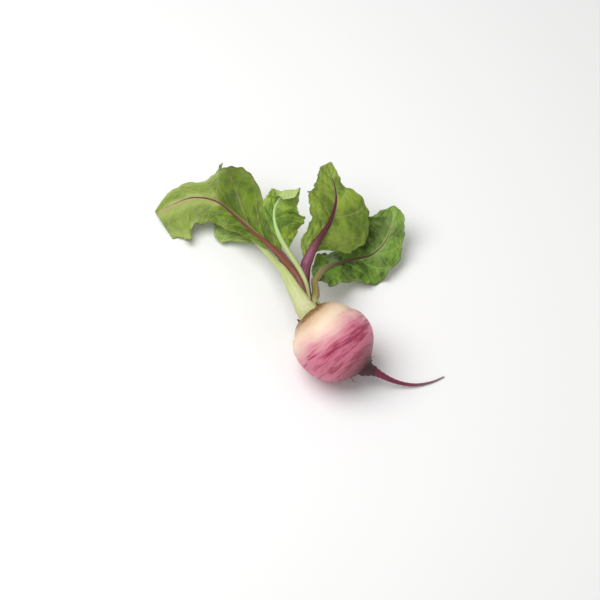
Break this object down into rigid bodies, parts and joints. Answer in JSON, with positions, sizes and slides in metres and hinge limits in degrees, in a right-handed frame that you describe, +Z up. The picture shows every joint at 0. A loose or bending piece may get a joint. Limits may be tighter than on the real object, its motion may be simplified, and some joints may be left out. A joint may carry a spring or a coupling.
{
  "type": "turnip",
  "caption": "Whole turnip lying on its side: round root with a tapering tail, stalks fanning from the crown, wavy leaf blades.",
  "frame": {"origin": "centre of the small flat spot that the root rests on, directly below the middle of the globe", "axes": "+Z up from the surface it lies on; +Y away from the viewer, towards the leaves; +X to the viewer's right, towards the tail"},
  "size_m": [0.2197, 0.1886, 0.0805],
  "materials": {
    "root_skin": "smooth skin, satin",
    "red_stalk": "ribbed, satin",
    "purple_stalk": "ribbed, satin",
    "green_stalk": "ribbed, satin",
    "leaf_blade": "veined leaf, satin",
    "young_leaf": "rolled leaf, satin",
    "old_base": "dry, matte",
    "rootlet": "dry, matte"
  },
  "bodies": {
    "root": {"root": "root_skin", "leaf_1_stalk": "red_stalk", "leaf_1_blade": "leaf_blade", "leaf_2_stalk": "green_stalk", "leaf_2_blade": "leaf_blade", "leaf_3_stalk": "green_stalk", "leaf_3_blade": "leaf_blade", "leaf_4_stalk": "red_stalk", "leaf_4_blade": "leaf_blade", "leaf_5_stalk": "purple_stalk", "leaf_5_blade": "leaf_blade", "young_leaf_1": "young_leaf", "young_leaf_2": "young_leaf", "old_base_1": "old_base", "old_base_2": "old_base", "old_base_3": "old_base", "old_base_4": "old_base", "side_rootlet_1": "rootlet", "side_rootlet_2": "rootlet", "side_rootlet_3": "rootlet"}
  },
  "joints": []
}
